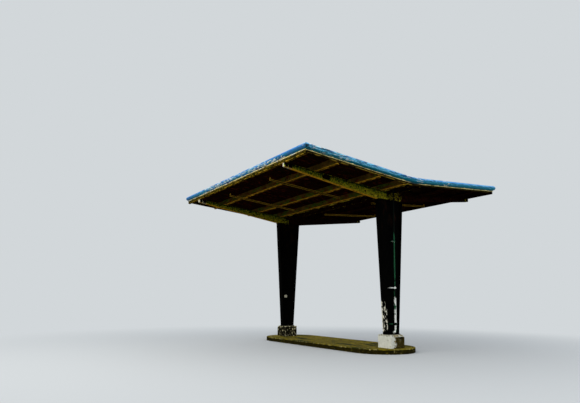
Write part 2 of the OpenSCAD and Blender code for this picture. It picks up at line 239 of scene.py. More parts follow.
def makeFloor(s):
    # Plain pale floor that runs into the backdrop's colour with distance
    material = bpy.data.materials.new("paleFloor")
    material.use_nodes = True
    tree = material.node_tree
    tree.nodes.clear()
    seen = seenRays(tree)
    place = addNode(tree, "TexCoord").outputs["Object"]
    distance = addNode(tree, "VectorMath", {"operation": "LENGTH", 0: place}).outputs["Value"]
    fade = addNode(tree, "MapRange", {"interpolation_type": "SMOOTHSTEP", "From Min": s["floorPlain"],
                                      "From Max": s["floorFades"], "Value": distance})
    bounce, pale = toLinear(s["floorBounce"]), toLinear(s["floorPale"])
    colour = addNode(tree, "MixRGB", {"Fac": seen, "Color1": bounce, "Color2": pale})
    plain = addNode(tree, "BsdfDiffuse", {"Color": colour})
    glow = addNode(tree, "Emission", {"Color": toLinear(s["backdrop"])})
    far = addNode(tree, "Math", {"operation": "MULTIPLY", 0: fade, 1: seen})
    both = addNode(tree, "MixShader", {0: far, 1: plain, 2: glow})
    addNode(tree, "OutputMaterial", {"Surface": both})
    ring = bmesh.new()
    bmesh.ops.create_circle(ring, cap_ends=True, radius=s["floorRadius"], segments=s["floorSides"])
    mesh = bpy.data.meshes.new("floor")
    ring.to_mesh(mesh)
    ring.free()
    mesh.materials.append(material)
    floor = bpy.data.objects.new("floor", mesh)
    floor.location.z = -s["floorDrop"]
    bpy.context.scene.collection.objects.link(floor)


makeStudio(studio)
makeFloor(studio)
print("studio set")


# Shared sizes of the frame, in metres
slope = math.radians(4.5)
canopy = {
    "valleyZ": 4.970,
    "halfLength": 3.928, "wing": 4.003 / math.cos(slope),
    "bendLength": 1.1,
    "columnX": 2.9, "kneeZ": 4.725, "pedestalTop": 0.540,
    "deckUnder": 0.200, "deckTop": 0.235, "feltTop": 0.250, "deckStart": 0.1194,
    "fasciaTop": 0.282, "fasciaHeight": 0.164, "stopWidth": 0.040,
}
bendRadius = canopy["bendLength"] / (2 * slope)
bendHalf = bendRadius * math.tan(slope)


def onWing(side, x, along, lift):
    # A point on a wing: along runs up the slope and lift is square to it
    return Vector((x, side * (along * math.cos(slope) - lift * math.sin(slope)),
                   canopy["valleyZ"] + along * math.sin(slope) + lift * math.cos(slope)))


def onGable(x, along, lift):
    # A point of a gable run, which follows the soft bend at the valley
    if abs(along) >= bendHalf:
        return onWing(math.copysign(1, along), x, abs(along), lift)
    turn = along / bendHalf * slope
    reach = bendRadius - lift
    middle = canopy["valleyZ"] + bendRadius / math.cos(slope)
    return Vector((x, reach * math.sin(turn), middle - reach * math.cos(turn)))


# Finishes. Each is a ground of two tones and coats over it. A coat has two colours, a grain in mm and the
# share that it covers; "where" pushes it on or off in places, and "stretch" draws its grain out.

frontward, rightward, upward, downward = (0, -1, 0), (1, 0, 0), (0, 0, 1), (0, 0, -1)
grain = {
    "middle": 0.5, "spread": 0.115,         # mean and deviation of the noise
    "toneRange": (0.36, 0.64), "fineRange": (0.38, 0.62), "fineShare": 0.4,
    "roughRange": 0.12, "roundRim": (1.25, 0.75), "edgeTurn": (0.995, 0.85),
    "cellRim": 0.9, "apart": (7.3, 3.1, 5.7),       # shift from one coat's noise to the next
    "toneDetail": 6, "toneRagged": 0.65, "fineDetail": 4, "gritDetail": 3, "edgeSamples": 4,
    "gritMm": 8, "grit": 0.3, "detail": 5, "ragged": 0.6,       # where a finish or a coat states none
    "unit": 0.001,      # metres in one mm of height
}


def coat(colour, otherColour, mm, cover, **more):
    return {"colours": (colour, otherColour), "mm": mm, "cover": cover, **more}


def near(at, reach, push):
    # Within a soft egg round a point
    return {"by": "near", "at": at, "reach": reach, "span": grain["roundRim"], "push": push}


def facing(way, low, high, push):
    # Where the surface turns that way
    return {"by": "facing", "way": way, "span": (low, high), "push": push}


def between(axis, low, high, push):
    # Across a stretch of an axis; "lift" is the height square to the wing
    return {"by": axis, "span": (low, high), "push": push}


def onEdges(radius, push):
    return {"by": "edge", "radius": radius, "span": grain["edgeTurn"], "push": push}


def roundedWay(tree, part):
    # The way the surface would face if its edges were round
    bevel = addNode(tree, "Bevel", {"samples": grain["edgeSamples"], "Radius": part["radius"]})
    return bevel.outputs[0]


def whereMask(tree, coordinates, part):
    # 1 where the part applies and 0 elsewhere
    kind = part["by"]
    if kind == "near":
        apart = addNode(tree, "VectorMath", {"operation": "SUBTRACT", 0: coordinates, 1: part["at"]})
        scaled = addNode(tree, "VectorMath", {"operation": "DIVIDE", 0: apart, 1: part["reach"]})
        value = addNode(tree, "VectorMath", {"operation": "LENGTH", 0: scaled}).outputs["Value"]
    elif kind in ("facing", "edge"):
        way = part.get("way") or roundedWay(tree, part)
        normal = addNode(tree, "NewGeometry").outputs["Normal"]
        value = addNode(tree, "VectorMath", {"operation": "DOT_PRODUCT", 0: normal, 1: way}).outputs["Value"]
    else:
        split = addNode(tree, "SeparateXYZ", {0: coordinates})
        if kind == "lift":
            rise = addNode(tree, "Math", {"operation": "MULTIPLY_ADD", 0: split.outputs["Z"],
                                          1: math.cos(slope), 2: -canopy["valleyZ"] * math.cos(slope)})
            out = addNode(tree, "Math", {"operation": "ABSOLUTE", 0: split.outputs["Y"]})
            value = addNode(tree, "Math", {"operation": "MULTIPLY_ADD", 0: out, 1: -math.sin(slope), 2: rise})
        else:
            value = split.outputs[kind.upper()]
    low, high = part["span"]
    return addNode(tree, "MapRange", {"interpolation_type": "SMOOTHSTEP", "From Min": low, "From Max": high,
                                      "Value": value})


def coatMask(tree, coordinates, paint, number):
    # 1 where the coat covers
    shifted = addNode(tree, "VectorMath", {"operation": "MULTIPLY_ADD", 0: coordinates,
                                           1: paint.get("stretch", (1, 1, 1)),
                                           2: [number * a for a in grain["apart"]]})
    scale = perMetre(paint["mm"])
    if "cells" in paint:
        cloud = addNode(tree, "TexVoronoi", {"feature": "DISTANCE_TO_EDGE", "Scale": scale,
                                             "Vector": shifted})
        value = addNode(tree, "Math", {"operation": "MULTIPLY_ADD", 0: cloud, 1: -paint["cells"],
                                       2: grain["cellRim"]})
    else:
        value = addNode(tree, "TexNoise", {"Scale": scale, "Detail": paint.get("detail", grain["detail"]),
                                           "Roughness": paint.get("ragged", grain["ragged"]),
                                           "Vector": shifted})
    for part in paint.get("where", []):
        mask = whereMask(tree, coordinates, part)
        value = addNode(tree, "Math", {"operation": "MULTIPLY_ADD", 0: mask, 1: part["push"], 2: value})
    cut = NormalDist(grain["middle"], grain["spread"]).inv_cdf(1 - paint["cover"])
    return addNode(tree, "MapRange", {"interpolation_type": "SMOOTHSTEP", "From Min": cut - paint["soft"],
                                      "From Max": cut + paint["soft"], "Value": value})


def twoTones(tree, coordinates, colours, cloud, span):
    # Two colours mixed by noise, spread over the span of its values
    spots = addNode(tree, "TexNoise", {**cloud, "Vector": coordinates})
    spread = addNode(tree, "MapRange", {"From Min": span[0], "From Max": span[1], "Value": spots})
    one, other = colours
    return addNode(tree, "MixRGB", {"Fac": spread, "Color1": toLinear(one), "Color2": toLinear(other)})


def finish(name, look):
    material = bpy.data.materials.new(name)
    material.use_nodes = True
    tree = material.node_tree
    shader = tree.nodes["Principled BSDF"]
    shader.inputs["Specular IOR Level"].default_value = look["specular"]
    place = addNode(tree, "TexCoord").outputs["Object"]
    cloud = {"Scale": perMetre(look["toneMm"]), "Detail": grain["toneDetail"],
             "Roughness": grain["toneRagged"]}
    colour = twoTones(tree, place, look["tones"], cloud, grain["toneRange"])
    if "board" in look:
        # Each board has its own tone, kept on the mesh
        tone = addNode(tree, "Attribute", {"attribute_name": "board"}).outputs["Fac"]
        low, high = look["board"]
        shade = addNode(tree, "MapRange", {"To Min": low, "To Max": high, "Value": tone})
        colour = addNode(tree, "VectorMath", {"operation": "SCALE", 0: colour, "Scale": shade})
    grit = addNode(tree, "TexNoise", {"Scale": perMetre(look.get("gritMm", grain["gritMm"])),
                                      "Detail": grain["gritDetail"], "Vector": place})
    rough = addNode(tree, "MapRange", {"To Min": look["rough"] - grain["roughRange"],
                                       "To Max": look["rough"] + grain["roughRange"], "Value": grit})
    height = addNode(tree, "Math", {"operation": "MULTIPLY", 0: grit,
                                    1: look.get("grit", grain["grit"])})        # mm
    for number, paint in enumerate(look["coats"], 1):
        mask = coatMask(tree, place, paint, number)
        cloud = {"Scale": perMetre(paint["mm"] * grain["fineShare"]), "Detail": grain["fineDetail"]}
        top = twoTones(tree, place, paint["colours"], cloud, grain["fineRange"])
        colour = addNode(tree, "MixRGB", {"Fac": mask, "Color1": colour, "Color2": top})
        if "rough" in paint:
            level = addNode(tree, "Math", {"operation": "SUBTRACT", 0: paint["rough"], 1: rough})
            rough = addNode(tree, "Math", {"operation": "MULTIPLY_ADD", 0: level, 1: mask, 2: rough})
        if "height" in paint:
            height = addNode(tree, "Math", {"operation": "MULTIPLY_ADD", 0: mask, 1: paint["height"],
                                            2: height})
    bump = addNode(tree, "Bump", {"Strength": 1.0, "Distance": grain["unit"], "Height": height})
    for socket, source in (("Base Color", colour), ("Roughness", rough), ("Normal", bump)):
        tree.links.new(source.outputs[0], shader.inputs[socket])
    return material


# Blue enamel on rolled sheet steel, baked and long in the sun: clear blue above the groove, teal under it,
# partly two-tone paint and partly painted shade on the half that faces down; flaked to a white primer in
# streaks that run along the sheets from the near corner. Painted shade darkens the groove and the front side,
# and painted highlights lighten a band below the groove and streaks on the right gable
blueEnamel = finish("chalkedBlueEnamel", {
    "tones": ("#4A98DC", "#6AB4E8"), "toneMm": 260, "rough": 0.55, "specular": 0.12, "gritMm": 5,
    "grit": 0.25, "coats": [
        # Darker blue on the side that faces the front: painted shade
        coat("#2C78C6", "#4890D8", 90, 0.02, soft=0.03, stretch=(0.3, 0.3, 2),
             where=[facing(frontward, 0.1, 0.4, 0.4)]),
        coat("#9EC2D6", "#B9D2DC", 80, 0.0003, soft=0.03, stretch=(0.3, 0.3, 1.5),
             where=[near((-0.2, -4.05, 5.46), (2.6, 0.3, 0.3), 0.4)]),
        coat("#0A3C78", "#12569C", 84, 0.24, soft=0.015, stretch=(0.26, 0.26, 1.9),
             where=[near((4.0, -2.0, 5.4), (0.2, 2.6, 0.4), 0.07)]),
        # Pale cyan streaks along the right gable: painted highlights
        coat("#98E2F8", "#58C2F0", 84, 0.16, soft=0.015, stretch=(0.26, 0.26, 1.9),
             where=[near((4.0, -2.4, 5.4), (0.2, 2.4, 0.4), 0.09)]),
        # Teal on the half that faces down: partly two-tone paint and partly painted shade
        coat("#0E88A8", "#096C88", 90, 0.03, soft=0.06, stretch=(0.3, 0.3, 1.5),
             where=[near((-0.2, -4.05, 5.46), (2.6, 0.3, 0.3), -0.22), facing(upward, 0.12, -0.12, 0.42)]),
        # A lighter cyan band just below the groove: painted highlight
        coat("#7CD2F4", "#3C93C4", 64, 0.02, soft=0.02, stretch=(0.25, 0.25, 2),
             where=[facing(upward, -0.12, -0.2, 0.17), facing(upward, -0.5, -0.65, -0.2),
                    between("y", -0.2, -1.2, 0.16), facing(frontward, 0.3, 0.6, -0.25)]),
        # Darker blue on the lower half of the front side: painted shade
        coat("#1C5A92", "#2C6EA4", 70, 0.0003, soft=0.03, stretch=(0.3, 0.3, 1.5),
             where=[facing(frontward, 0.3, 0.6, 0.25), facing(upward, 0.3, -0.1, 0.25),
                    near((-0.2, -4.05, 5.46), (2.6, 0.3, 0.3), -0.28)]),
        coat("#F4F8F8", "#D4E2E6", 46, 0.03, soft=0.015, stretch=(0.25, 0.25, 1.6), height=-0.4, rough=0.8,
             where=[near((4.0, -3.7, 5.57), (0.2, 0.6, 0.08), 0.15),
                    near((4.0, -3.3, 5.5), (0.3, 1.0, 0.3), 0.1),
                    near((4.0, -1.9, 5.27), (0.5, 2.2, 0.08), 0.05),
                    near((4.0, 0.1, 5.3), (0.5, 0.5, 0.2), 0.13),
                    near((4.0, 1.45, 5.35), (0.5, 0.2, 0.2), 0.15),
                    near((2.0, -4.05, 5.43), (1.1, 0.5, 0.06), 0.19),
                    near((-0.9, -4.05, 5.47), (0.9, 0.5, 0.1), 0.15)]),
        # Near-black along the groove, painted shade there, and in dark streaks near the front of the right
        # gable
        coat("#052C44", "#06222E", 60, 0.02, soft=0.015, stretch=(0.25, 0.25, 1.5),
             where=[near((4.0, -3.4, 5.45), (0.5, 0.9, 0.12), 0.16), facing(upward, 0.26, 0.2, 0.25),
                    facing(upward, -0.08, -0.14, -0.25), facing(frontward, 0.3, 0.6, -0.2)]),
        coat("#5B3422", "#3A2016", 30, 0.02, soft=0.02, height=-0.2, rough=0.9)]})

# Cream oil paint brushed on steel drip trim: bright where it holds, broken by brown stains; painted shade
# darkens the faces that turn down and the lower edge, and a painted shadow of the fascia's round lies along
# the top on the right gable
trimPaint = finish("yellowedTrimPaint", {
    "tones": ("#FFF0B4", "#F0D888"), "toneMm": 140, "rough": 0.65, "specular": 0.1, "coats": [
        # Brown stains, more of them where the faces turn down, which is painted shade
        coat("#54451A", "#2E250D", 110, 0.3, soft=0.03, stretch=(0.5, 0.5, 1),
             where=[facing(downward, 0.1, 0.6, 0.16), facing(rightward, 0.3, 0.6, -0.05)]),
        # Olive along the lower edge on the right gable: painted shade
        coat("#A2A648", "#7E8234", 110, 0.0003, soft=0.03, stretch=(0.5, 0.5, 1),
             where=[facing(rightward, 0.3, 0.6, 0.25), between("lift", 0.092, 0.088, 0.25)]),
        coat("#FBF8EC", "#E2DFCB", 70, 0.12, soft=0.02, stretch=(0.5, 0.5, 1), height=0.2,
             where=[near((0, -4.03, 5.4), (4.2, 0.4, 0.3), 0.07), facing(rightward, 0.5, 0.9, -0.08)]),
        coat("#4A2412", "#2A130B", 45, 0.1, soft=0.02, rough=0.9),
        # Olive brown along the lower edge in front: painted shade
        coat("#6A5E30", "#464018", 90, 0.0003, soft=0.03, stretch=(0.5, 0.5, 1),
             where=[facing(frontward, 0.3, 0.6, 0.25), between("lift", 0.096, 0.09, 0.25)]),
        # Dark teal along the top on the right gable: painted shadow under the fascia's round
        coat("#0A5468", "#173C40", 90, 0.0003, soft=0.03, stretch=(0.5, 0.5, 1),
             where=[facing(rightward, 0.3, 0.6, 0.25), between("lift", 0.1, 0.105, 0.25)])]})

# The same cream paint on the rolled purlins, gone olive and brown with algae and rust; a bright yellow line
# runs along the lower edge, and the faces that turn down are browner, which is painted shade
purlinPaint = finish("algaeGreenPurlinPaint", {
    "tones": ("#8E7034", "#5E4A20"), "toneMm": 220, "rough": 0.85, "specular": 0.0, "coats": [
        coat("#6E862C", "#4C641E", 150, 0.36, soft=0.05, stretch=(0.3, 1, 1)),
        coat("#8A3A20", "#581F12", 110, 0.24, soft=0.04, stretch=(0.4, 1, 1), height=0.2, rough=0.92),
        coat("#1A0D06", "#0C0603", 60, 0.16, soft=0.04, rough=0.95),
        coat("#FFCE46", "#F2B232", 45, 0.006, soft=0.03, stretch=(0.4, 1, 1), height=0.3,
             where=[between("lift", 0.03, 0.024, 0.42)]),
        # Browner where the faces turn down: painted shade
        coat("#7A581C", "#4E3812", 70, 0.02, soft=0.04, stretch=(0.4, 1, 1),
             where=[facing(downward, 0.6, 0.9, 0.3)])]})
rustedPurlin = finish("rustedPurlinPaint", {
    "tones": ("#341509", "#200D06"), "toneMm": 200, "rough": 0.9, "specular": 0.0, "coats": [
        coat("#4A2E14", "#33200D", 160, 0.3, soft=0.06, stretch=(0.3, 1, 1)),
        coat("#0E0603", "#080302", 110, 0.3, soft=0.06, stretch=(0.4, 1, 1)),
        coat("#C0AE34", "#8E8A26", 70, 0.012, soft=0.02, stretch=(0.3, 1, 1), height=0.3,
             where=[between("y", 0.75, 0.45, 0.12), facing(downward, 0.6, 0.9, 0.03)])]})
eavePaint = finish("yellowedEavePaint", {
    "tones": ("#463B0E", "#2C270A"), "toneMm": 220, "rough": 0.8, "specular": 0.0, "coats": [
        coat("#282C0A", "#1A1E06", 160, 0.35, soft=0.06, stretch=(0.3, 1, 1)),
        coat("#75651A", "#544C14", 60, 0.02, soft=0.04, stretch=(0.3, 1, 1), height=0.3,
             where=[between("lift", 0.04, 0.05, 0.24)]),
        coat("#C0962E", "#8E7420", 50, 0.02, soft=0.03, stretch=(0.3, 1, 1), height=0.3,
             where=[between("lift", 0.024, 0.016, 0.24)]),
        coat("#1E1006", "#0E0703", 70, 0.24, soft=0.04, stretch=(0.4, 1, 1), rough=0.95)]})

# Cream paint on the near girders: mottled olive, greener above and yellower below, a thin bright line along
# the bottom flange, white left on the plates at the tips; near-black painted shade under the top flange, at
# the heel and behind the tip plates
girderPaint = finish("mottledOliveGirderPaint", {
    "tones": ("#C4BE28", "#92961F"), "toneMm": 150, "rough": 0.8, "specular": 0.0, "coats": [
        coat("#467422", "#335616", 50, 0.26, soft=0.05, where=[between("lift", -0.13, -0.03, 0.12)]),
        coat("#514E16", "#34380C", 42, 0.24, soft=0.05),
        coat("#E2C838", "#C4B22A", 42, 0.14, soft=0.04, where=[between("lift", -0.1, -0.2, 0.08)]),
        coat("#FFC83C", "#EAAA30", 50, 0.006, soft=0.04, where=[facing(downward, 0.6, 0.9, 0.45)]),
        # Near-black under the top flange and at the heel by the valley: painted shade
        coat("#1C1408", "#0E0A04", 90, 0.0002, soft=0.06,
             where=[facing(downward, 0.6, 0.9, 0.32), between("lift", -0.06, -0.03, 0.34),
                    between("y", -0.16, -0.08, 0.4)]),
        coat("#3A1A0C", "#1E0D06", 60, 0.05, soft=0.02, rough=0.95),
        # Near-black on the right faces behind the tip plates: painted shade
        coat("#16110A", "#0B0805", 60, 0.0002, soft=0.03,
             where=[between("y", -3.7, -3.76, 0.36), facing(rightward, 0.5, 0.8, 0.34)]),
        coat("#EDE9D6", "#C9C4A6", 40, 0.004, soft=0.02, height=0.4,
             where=[between("x", 2.905, 2.925, -0.3), between("y", -3.95, -3.972, 0.44),
                    between("y", -3.84, -3.852, 0.28), between("y", -3.864, -3.876, -0.34),
                    near((2.9, -3.84, 5.16), (0.2, 0.2, 0.035), 0.3),
                    near((-2.9, -3.84, 5.16), (0.2, 0.2, 0.035), 0.3)])]})
rustedGirder = finish("rustedThroughGirderPaint", {
    "tones": ("#33140B", "#1E0B06"), "toneMm": 120, "rough": 0.92, "specular": 0.0, "gritMm": 6,
    "grit": 0.6, "coats": [
        # Near-black rust, heavier on the faces that turn down, which is painted shade
        coat("#120604", "#080302", 90, 0.35, soft=0.08, where=[facing(downward, 0.6, 0.9, 0.2)]),
        coat("#D8CC3A", "#AAA62C", 36, 0.012, soft=0.015, height=0.4, rough=0.7,
             where=[near((2.9, 0.15, 4.86), (0.3, 0.45, 0.2), 0.21), between("y", 3.84, 3.852, 0.36),
                    between("y", 3.864, 3.876, -0.36), between("y", 3.955, 3.975, 0.26),
                    onEdges(0.006, 0.08)])]})

# Black gloss paint on the welded columns, long gone dull: reddish rust shows through towards the
# head, and low on the near side it has chipped to the white coat underneath
columnPaint = finish("dulledBlackColumnPaint", {
    "tones": ("#020202", "#050504"), "toneMm": 300, "rough": 0.85, "specular": 0.01, "gritMm": 4,
    "grit": 0.15, "coats": [
        coat("#20100A", "#120805", 200, 0.08, soft=0.06, stretch=(1, 1, 0.35), rough=0.9,
             where=[between("z", 3.5, 4.7, 0.14)]),
        coat("#070B05", "#0A0F08", 150, 0.1, soft=0.05, stretch=(1, 1, 0.4)),
        coat("#F0EFE2", "#CFCDB8", 80, 0.0012, soft=0.01, detail=8, ragged=0.62, stretch=(1, 1, 0.5),
             height=-0.5, rough=0.75, where=[near((2.9, -0.32, 1.0), (0.3, 0.11, 0.66), 0.32),
                    near((2.8, -0.28, 0.85), (0.03, 0.12, 0.55), 0.13),
                    near((-2.8, 0.12, 0.62), (0.3, 0.3, 0.1), 0.2)])]})

# Softwood planks stained nearly black, with brown where the stain has gone
deckStain = finish("blackStainedPlanks", {
    "tones": ("#1E0C07", "#0E0604"), "toneMm": 90, "rough": 0.95, "specular": 0.0, "gritMm": 12,
    "grit": 0.5, "board": (0.4, 1.9), "coats": [
        coat("#3E160A", "#2A0F07", 70, 0.32, soft=0.06, stretch=(6, 0.5, 1)),
        coat("#221F0C", "#151406", 320, 0.2, soft=0.1, stretch=(2, 0.5, 1)),
        coat("#6E2A14", "#4C1D0E", 130, 0.16, soft=0.06, stretch=(1.3, 0.5, 1))]})
joistStain = finish("weatheredJoistTimber", {
    "tones": ("#3A2E12", "#211A0A"), "toneMm": 200, "rough": 0.9, "specular": 0.0, "gritMm": 12,
    "grit": 0.4, "coats": [
        coat("#140C06", "#0A0603", 90, 0.36, soft=0.05, stretch=(1, 0.3, 3)),
        coat("#B4943A", "#7E6C26", 90, 0.01, soft=0.03, stretch=(1, 0.3, 2),
             where=[between("lift", 0.056, 0.05, 0.26), between("y", -0.3, 0.5, -0.2)])]})

# Mineral roofing felt, rolled on and tarred: grey grit with black tar showing
felt = finish("mineralRoofingFelt", {
    "tones": ("#5B5A53", "#4B4A45"), "toneMm": 700, "rough": 0.93, "specular": 0.12, "gritMm": 6,
    "grit": 1.2, "coats": [
        coat("#474640", "#3D3C37", 900, 0.3, soft=0.12, stretch=(1.4, 0.5, 1)),
        coat("#6A675A", "#716D5C", 420, 0.16, soft=0.12, stretch=(1.6, 0.6, 1)),
        coat("#2B2A28", "#201F1E", 260, 0.03, soft=0.03),
        coat("#35301F", "#2A2618", 320, 0.01, soft=0.1, where=[between("z", 5.32, 5.22, 0.24)])]})

# Folded gutter steel under dull grey paint, rusty where water stands, with painted shade darkening the faces
# that turn down
gutterPaint = finish("dullGreyGutterPaint", {
    "tones": ("#3B3832", "#2A2723"), "toneMm": 200, "rough": 0.9, "specular": 0.0, "coats": [
        coat("#4E2A18", "#2F180E", 120, 0.3, soft=0.04, height=0.3, rough=0.9),
        # Near-black over the faces that turn down: painted shade
        coat("#120E08", "#0A0805", 200, 0.2, soft=0.08, where=[facing(downward, 0.6, 0.9, 0.4)]),
        coat("#ECE054", "#C4BC42", 120, 0.0005, soft=0.02, stretch=(0.3, 1, 1),
             where=[facing(downward, 0.6, 0.9, 0.33)])]})

# Thin cream paint on the folded lamp rails: bright along both edges, olive brown between and under
railPaint = finish("yellowedRailPaint", {
    "tones": ("#5E4C18", "#3E3610"), "toneMm": 120, "rough": 0.8, "specular": 0.0, "coats": [
        coat("#2E240C", "#1C1507", 90, 0.3, soft=0.04, stretch=(1, 0.4, 1)),
        coat("#FFD050", "#DCAE40", 60, 0.012, soft=0.03, stretch=(1, 0.4, 1), height=0.3,
             where=[between("lift", -0.03, -0.022, 0.42), between("lift", -0.052, -0.058, 0.42),
                    facing(downward, 0.6, 0.9, -0.3)]),
        coat("#4A1F10", "#2A0F08", 40, 0.06, soft=0.02, rough=0.92)]})

# Green paint on the steel downpipe, nearly black towards the roof and peeled to white low down
pipePaint = finish("peeledGreenPipePaint", {
    "tones": ("#28603F", "#1C4A34"), "toneMm": 160, "rough": 0.7, "specular": 0.04, "coats": [
        coat("#08120C", "#040805", 120, 0.24, soft=0.05, stretch=(1, 1, 0.3),
             where=[between("z", 3.4, 4.3, 0.45), between("z", 2.5, 2.2, 0.08)]),
        coat("#FFFFFF", "#DFE8E0", 84, 0.004, soft=0.012, stretch=(1, 1, 0.4), height=-0.4, rough=0.75,
             where=[between("z", 1.8, 1.66, 0.34), near((3.0, 0, 0.86), (0.3, 0.3, 0.04), -0.25),
                    near((3.0, 0, 1.97), (0.3, 0.3, 0.035), 0.45),
                    near((3.0, 0.05, 3.41), (0.3, 0.3, 0.05), 0.22)]),
        coat("#3A1A0C", "#1E0D06", 40, 0.05, soft=0.02, rough=0.92)]})

# Stove enamel on the small switch box, off-white and grubby
boxEnamel = finish("grubbyBoxEnamel", {
    "tones": ("#C9C6B4", "#A8A58F"), "toneMm": 60, "rough": 0.45, "specular": 0.4, "gritMm": 3, "grit": 0.1,
    "coats": [
        coat("#5A5440", "#3E3A2A", 40, 0.16, soft=0.06),
        coat("#4A2412", "#2A130B", 14, 0.06, soft=0.02, rough=0.9)]})

# Cast concrete, yellowed by dust and lichen: pale fines along the worn arris, sides darkened green-brown by
# painted shade, darker hollows and hairline cracks
kerbConcrete = finish("dustyCastConcrete", {
    "tones": ("#86771A", "#665B15"), "toneMm": 260, "rough": 0.95, "specular": 0.04, "gritMm": 9,
    "grit": 0.9, "coats": [
        coat("#4B4418", "#35300F", 130, 0.3, soft=0.05, height=-0.6),
        coat("#28320A", "#1A2206", 620, 0.28, soft=0.05, stretch=(0.6, 1.4, 1)),
        # Dark green-brown on the sides: painted shade
        coat("#2B2403", "#171503", 160, 0.03, soft=0.08, where=[facing(upward, 0.5, 0.1, 0.4)]),
        coat("#B0A46C", "#8E844C", 90, 0.06, soft=0.04,
             where=[onEdges(0.02, 0.14), between("z", 0.112, 0.122, 0.11),
                    facing(upward, 0.93, 0.98, -0.11), near((-3.3, -0.5, 0.15), (0.5, 0.9, 0.3), 0.13)]),
        coat("#26220F", "#1A170A", 900, 0.004, soft=0.012, cells=14, height=-1.5)]})

# White distemper over the right pedestal's concrete: whole in front; over the far half of its right side it
# is flaked and dark olive, partly painted shade, with near-black painted shade in a spot there and at the
# broken top corner
whiteDistemper = finish("flakedWhiteDistemper", {
    "tones": ("#ECEDE4", "#D9DCCF"), "toneMm": 90, "rough": 0.9, "specular": 0.1, "gritMm": 7, "grit": 0.5,
    "coats": [
        coat("#B9B9A4", "#A3A38C", 60, 0.12, soft=0.04),
        coat("#A08A48", "#7C6C36", 60, 0.04, soft=0.02, stretch=(1, 0.6, 1.2),
             where=[between("y", -0.27, -0.1, 0.16)]),
        # Dark olive over the far half of the sides: partly flaking, partly painted shade
        coat("#43390E", "#282208", 75, 0.012, soft=0.012, detail=10, ragged=0.7, height=-0.8, rough=0.95,
             where=[between("y", -0.27, 0.0, 0.4), facing(upward, 0.5, 0.8, -0.2),
                    between("z", 0.47, 0.49, -0.26), between("z", 0.19, 0.15, 0.1)]),
        coat("#8E8450", "#5E5636", 40, 0.1, soft=0.015, where=[between("z", 0.49, 0.515, 0.14)]),
        # Near-black spots on the right side and at the broken top corner: painted shade
        coat("#14120A", "#0A0905", 60, 0.002, soft=0.02,
             where=[near((3.18, 0.14, 0.44), (0.06, 0.11, 0.06), 0.34),
                    near((3.18, -0.26, 0.52), (0.08, 0.05, 0.04), 0.3)])]})
blackDistemper = finish("flakedBlackDistemper", {
    "tones": ("#17140B", "#0C0A06"), "toneMm": 90, "rough": 0.92, "specular": 0.04, "gritMm": 7,
    "grit": 0.6, "coats": [
        coat("#37331A", "#262312", 60, 0.25, soft=0.05),
        coat("#E6E0BC", "#A8A276", 62, 0.19, soft=0.012, detail=8, stretch=(1, 1.3, 0.6), height=-0.6,
             rough=0.95,
             where=[near((-2.6, 0.2, 0.34), (0.1, 0.13, 0.2), 0.06), between("z", 0.5, 0.53, 0.12),
                    onEdges(0.012, 0.12)])]})
print("finishes made")


dress(columnPaint, "column_left", "column_right", "base_plate_left", "base_plate_right", "cap_plate_left",
      "cap_plate_right")
dress(girderPaint, "girder_left_front", "girder_right_front")
dress(rustedGirder, "girder_left_back", "girder_right_back")
dress(eavePaint, "eave_purlin_front")
dress(purlinPaint, *[f"{row}_purlin_front" for row in ("outer", "inner", "valley")])
dress(rustedPurlin, *[f"{row}_purlin_back" for row in ("eave", "outer", "inner", "valley")])
dress(joistStain, *[f"gable_joist_{side}_{end}" for side in ("left", "right") for end in ("front", "back")])
dress(trimPaint, "trim_front", "trim_back", "trim_left", "trim_right")
dress(railPaint, *[f"lamp_rail_{side}_{end}" for side in ("left", "right") for end in ("front", "back")])
dress(gutterPaint, "valley_gutter")
dress(pipePaint, "downpipe")
dress(boxEnamel, "switch_box")
dress(kerbConcrete, "island_slab")


# Fascia: rolled sheets lapped at their ends, with a flange turned in over the felt
fascia = {
    "inset": 0.002, "thickness": 0.0016, "lapRise": 0.0015, "lap": 0.045, "hemGap": 0.003, "fold": 0.002,
    "ringSpacing": 0.06, "arcSteps": 22, "grooveDepth": 0.003, "grooveHalf": 0.004, "grooveSlant": 3,
    "wave": 0.0018, "waveSize": 0.35, "waveDegrees": 60,
    "dents": 9, "dentDepth": 0.009, "dentSize": 0.11, "dentAngles": (-70, 50), "dentShares": (0.4, 1.0),
    "dentWidths": (0.5, 1.4), "calmEnd": 0.05, "flatOut": 0.01, "flatPush": 0.002, "flangeOut": -0.03,
    "eaveSheets": 2.44, "gableJoints": (-2.62, -1.22, 1.22, 2.62),
    "screwSpacing": 0.41, "screwEnd": 0.1, "screwAngle": -62, "screwLine": (-0.001, 0.0035),
    "screwHead": ((0, 0.006), (0.0014, 0.00552), (0.0025, 0.0042), (0.0032, 0.0018)),    # height, radius
}
fasciaMid = canopy["fasciaTop"] - canopy["fasciaHeight"] / 2
fasciaRadius = canopy["fasciaHeight"] / 2 - fascia["inset"]


def fasciaPath(f, rise):
    # Section of the sheet as (out, lift, angle) from the flange round to the lower hem
    mid, radius, flange = fasciaMid, fasciaRadius + rise, f["inset"] - canopy["stopWidth"]
    points = [(flange, canopy["feltTop"] + f["hemGap"], 90), (flange, mid + radius - f["fold"], 90),
              (flange + f["fold"], mid + radius, 90), (-canopy["stopWidth"] / 2, mid + radius, 90)]
    for step in range(f["arcSteps"] + 1):
        angle = 90 - 180 * step / f["arcSteps"]
        if abs(angle) < 1:
            points += [(radius, mid + f["grooveHalf"], f["grooveSlant"]),
                       (radius - f["grooveDepth"], mid, 0),
                       (radius, mid - f["grooveHalf"], -f["grooveSlant"])]
        else:
            turn = math.radians(angle)
            points.append((radius * math.cos(turn), mid + radius * math.sin(turn), angle))
    return points


